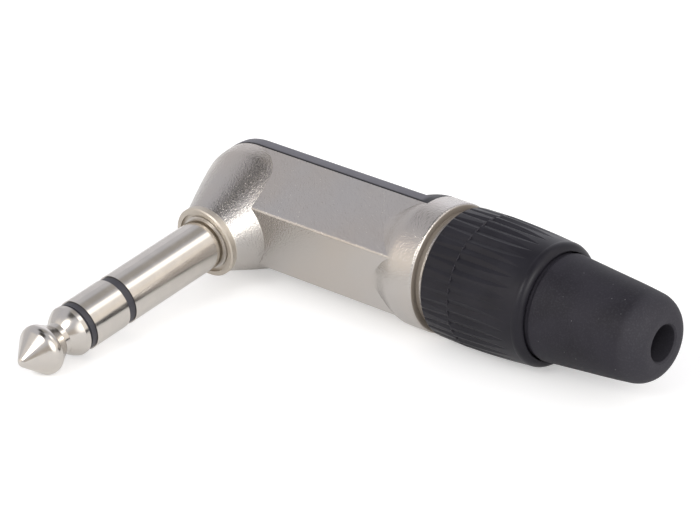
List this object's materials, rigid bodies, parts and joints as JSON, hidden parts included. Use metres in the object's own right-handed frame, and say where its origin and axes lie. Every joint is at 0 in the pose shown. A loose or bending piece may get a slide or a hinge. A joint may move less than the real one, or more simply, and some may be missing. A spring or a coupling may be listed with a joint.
{
  "type": "right-angle stereo jack plug",
  "caption": "Right-angle stereo jack plug: tip-ring-sleeve finger on a die-cast body with a push-on back cover, a ribbed screw gland and a tapered rubber boot.",
  "frame": {"origin": "on the axis of the contact finger, at the front face of the flange it stands in", "axes": "-Y along the finger towards its tip, +X along the body towards the gland and boot, Z across the body, which is the same above and below Z = 0"},
  "size_m": [0.0688, 0.0507, 0.016],
  "materials": {
    "satin_nickel": "satin nickel plate on a zinc casting",
    "cover_plastic": "satin black",
    "bright_nickel": "polished nickel plate",
    "insulator": "natural, thin",
    "band_black": "black, fine turned",
    "tinned_brass": "tin plate",
    "washer_paper": "hard paper",
    "plain_brass": "plain",
    "chuck_plastic": "black nylon",
    "nut_plastic": "black, half gloss",
    "boot_rubber": "matte black"
  },
  "bodies": {
    "housing": {"shell": "satin_nickel", "sleeve_contact": "bright_nickel", "outer_tube": "insulator", "ring_band": "band_black", "ring_contact": "bright_nickel", "inner_tube": "insulator", "tip_band": "band_black", "tip_contact": "bright_nickel", "sleeve_terminal": "tinned_brass", "front_washer": "washer_paper", "ring_terminal": "tinned_brass", "rear_washer": "washer_paper", "tip_terminal": "tinned_brass", "rod_washer": "plain_brass", "cavity_liner": "insulator", "chuck": "chuck_plastic"},
    "cover": {"back_cover": "cover_plastic"},
    "strain_boot": {"boot": "boot_rubber"},
    "gland": {"gland_nut": "nut_plastic"}
  },
  "joints": [
    {"name": "cover_lift", "type": "slide", "parent": "housing", "child": "cover", "axis": [0, 1, 0], "range_m": [0, 0.015]},
    {"name": "gland_travel", "type": "slide", "parent": "housing", "child": "strain_boot", "axis": [1, 0, 0], "range_m": [0, 0.006]},
    {"name": "gland_turn", "type": "hinge", "parent": "strain_boot", "child": "gland", "pos_m": [0.0385, 0.01125, 0], "axis": [1, 0, 0], "range_deg": [0, 2160]}
  ],
  "couplings": [
    {"joint": "gland_turn", "follows": "gland_travel", "rad_per_m": 6283.2}
  ]
}
